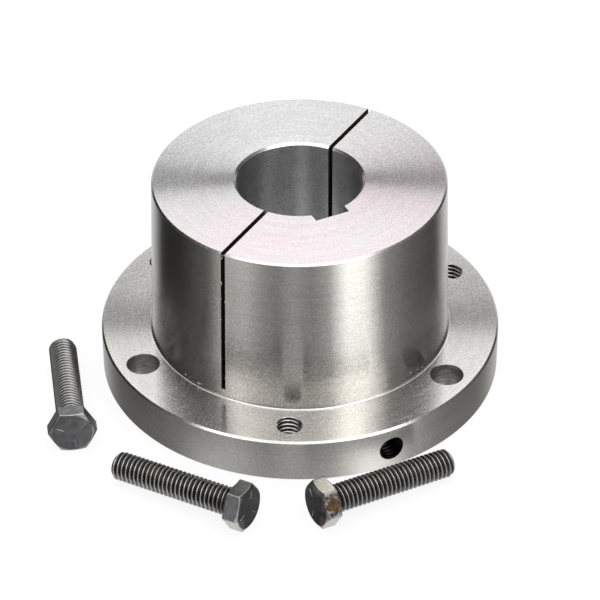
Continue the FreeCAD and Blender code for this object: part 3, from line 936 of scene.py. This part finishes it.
class BUSHING_OT_stage(bpy.types.Operator):
    """Set up the camera, the floor, the soft lamps and the white room"""
    bl_idname = "bushing.stage"
    bl_label = "Stage"

    def execute(self, context):
        self.place_camera(context)
        self.lay_floor(context)
        self.hang_lamps(context)
        self.light_room(context)
        view = context.scene.view_settings
        view.view_transform = "Standard"
        return {"FINISHED"}

    def place_camera(self, context):
        studio = context.scene.studio
        turn, height = studio.camera_azimuth, studio.camera_elevation
        back = polar(math.cos(height), turn - math.pi / 2, math.sin(height))
        data = bpy.data.cameras.new("camera")
        data.lens = studio.lens
        data.clip_start, data.clip_end = 0.05, 50
        camera = bpy.data.objects.new("camera", data)
        spot = Vector((0, 0, studio.aim_height)) + back * studio.camera_distance
        camera.matrix_world = (
            Matrix.Translation(spot)
            @ Matrix.Rotation(turn, 4, "Z")
            @ Matrix.Rotation(math.pi / 2 - height - studio.camera_pitch, 4, "X")
            @ Matrix.Rotation(studio.camera_roll, 4, "Z")
            @ Matrix.Rotation(studio.camera_yaw, 4, "Y"))
        context.scene.collection.objects.link(camera)
        context.scene.camera = camera

    def lay_floor(self, context):
        """White paper, which keeps a faint shadow. The steel mirrors it near the flange, where it
        is grey in the object's shade, and further off mirror rays pass it and meet the room."""
        material, node, point = new_material("white_paper")
        shadow, near, far = 0.12, 75 * MM, 100 * MM
        paper = node("ShaderNodeBsdfDiffuse", {"Color": context.scene.finishes.floor})
        glow = node("ShaderNodeEmission", {"Strength": 1.0})
        ray, seen = camera_ray(node)
        share = node("ShaderNodeMath", (seen, 1 - shadow), operation="MULTIPLY")
        mixed = node("ShaderNodeMixShader", (share, paper, glow))
        away = node("ShaderNodeVectorMath", (point,), operation="LENGTH")
        passed = node("ShaderNodeMapRange", (away, near, far, 0.86, 1.0))
        shade = node("ShaderNodeMixShader", (passed, glow, node("ShaderNodeBsdfTransparent")))
        mirrored = node("ShaderNodeMixShader", (ray["Is Glossy Ray"], mixed, shade))
        node("ShaderNodeOutputMaterial", (mirrored,))
        bm = bmesh.new()
        bmesh.ops.create_circle(bm, cap_ends=True, segments=96, radius=4)
        floor = bpy.data.objects.new("paper_floor", to_mesh(bm))
        floor.data.materials.append(material)
        context.scene.collection.objects.link(floor)

    def hang_lamps(self, context):
        """Two level soft boxes. The end faces mirror the back edge of the one overhead, which is
        what darkens them in a wedge at each side; the other one is over the camera and lights
        the broken edges."""
        for name, (light, wide, aside, front, back, height) in SOFT_BOXES.items():
            data = bpy.data.lights.new(name, "AREA")
            data.shape = "RECTANGLE"
            data.size, data.size_y = wide, back - front
            data.energy = 4 * light * data.size * data.size_y
            lamp = bpy.data.objects.new(name, data)
            lamp.matrix_world = (Matrix.Rotation(context.scene.studio.camera_azimuth, 4, "Z")
                                 @ Matrix.Translation((aside, (front + back) / 2, height)))
            lamp.visible_camera = False
            context.scene.collection.objects.link(lamp)

    def light_room(self, context):
        """A white room; mirror rays see its light walls and the black flags between them."""
        studio = context.scene.studio
        world = bpy.data.worlds.new("white_room")
        world.use_nodes = True
        world.node_tree.nodes.clear()
        context.scene.world = world
        node = partial(add_node, world.node_tree)
        way = node("ShaderNodeMapping", {
            "Vector": node("ShaderNodeTexCoord").outputs["Generated"],
            "Rotation": (0, 0, -studio.camera_azimuth)})
        part = node("ShaderNodeSeparateXYZ", (way,)).outputs
        ahead = node("ShaderNodeMath", (part["Y"], -1.0), operation="MULTIPLY")
        bearing = node("ShaderNodeMath", (part["X"], ahead), operation="ARCTAN2")
        place = node("ShaderNodeMapRange", (bearing, -math.pi, math.pi, 0.0, 1.0))
        walls = node("ShaderNodeValToRGB", (place,), stops=[
            ((degrees + 180) / 360, shade) for degrees, shade in WALLS])
        rise = node("ShaderNodeMapRange", (part["Z"], -1.0, 1.0, 0.0, 1.0))
        curl = node("ShaderNodeValToRGB", (rise,), stops=CURL)
        behind = node("ShaderNodeMath", (bearing,), operation="ABSOLUTE")
        behind = node("ShaderNodeMapRange", (
            behind, *map(math.radians, CURL_BEARINGS), 0.0, 1.0))
        around = node("ShaderNodeMix", (behind, walls, curl), data_type="RGBA")
        low = node("ShaderNodeMapRange", (part["Z"], *STEEP, 1.0, 0.0),
                   interpolation_type="SMOOTHSTEP")
        mirrored = node("ShaderNodeMix", (low, around, NEAR_FLOOR), data_type="RGBA")
        ray, seen = camera_ray(node)
        plain = (0.5 * studio.room,) * 3 + (1,)
        room = node("ShaderNodeMix", (ray["Is Glossy Ray"], plain, mirrored), data_type="RGBA")
        lit = node("ShaderNodeBackground", {"Color": room, "Strength": 2.0})
        white = node("ShaderNodeBackground", {"Color": (1, 1, 1, 1), "Strength": 1.0})
        node("ShaderNodeOutputWorld", (node("ShaderNodeMixShader", (seen, lit, white)),))


class BUSHING_PT_panel(bpy.types.Panel):
    """Sizes, finishes and the steps that make the scene"""
    bl_idname = "BUSHING_PT_panel"
    bl_label = "Split tapered bushing"
    bl_space_type = "VIEW_3D"
    bl_region_type = "UI"
    bl_category = "Bushing"

    def draw(self, context):
        for step in (BUSHING_OT_stage, BUSHING_OT_turn, BUSHING_OT_burrs, BUSHING_OT_screws):
            self.layout.operator(step.bl_idname)
        for name in GROUPS:
            group = getattr(context.scene, name)
            box = self.layout.box()
            for size in group.bl_rna.properties.keys():
                if size not in ("rna_type", "name"):
                    box.prop(group, size)


GROUPS = {
    "bushing_sizes": BushingSizes,
    "screw_sizes": ScrewSizes,
    "finishes": Finishes,
    "studio": StudioSizes,
}
CLASSES = [*GROUPS.values(), BUSHING_OT_stage, BUSHING_OT_turn, BUSHING_OT_burrs,
           BUSHING_OT_screws, BUSHING_PT_panel]


def register():
    for item in CLASSES:
        bpy.utils.register_class(item)
    for name, group in GROUPS.items():
        setattr(bpy.types.Scene, name, PointerProperty(type=group))


def unregister():
    for name in GROUPS:
        delattr(bpy.types.Scene, name)
    for item in reversed(CLASSES):
        bpy.utils.unregister_class(item)


def main():
    register()
    bpy.ops.bushing.stage()
    bpy.ops.bushing.turn()
    bpy.ops.bushing.burrs()
    bpy.ops.bushing.screws()


if __name__ == "__main__":
    main()
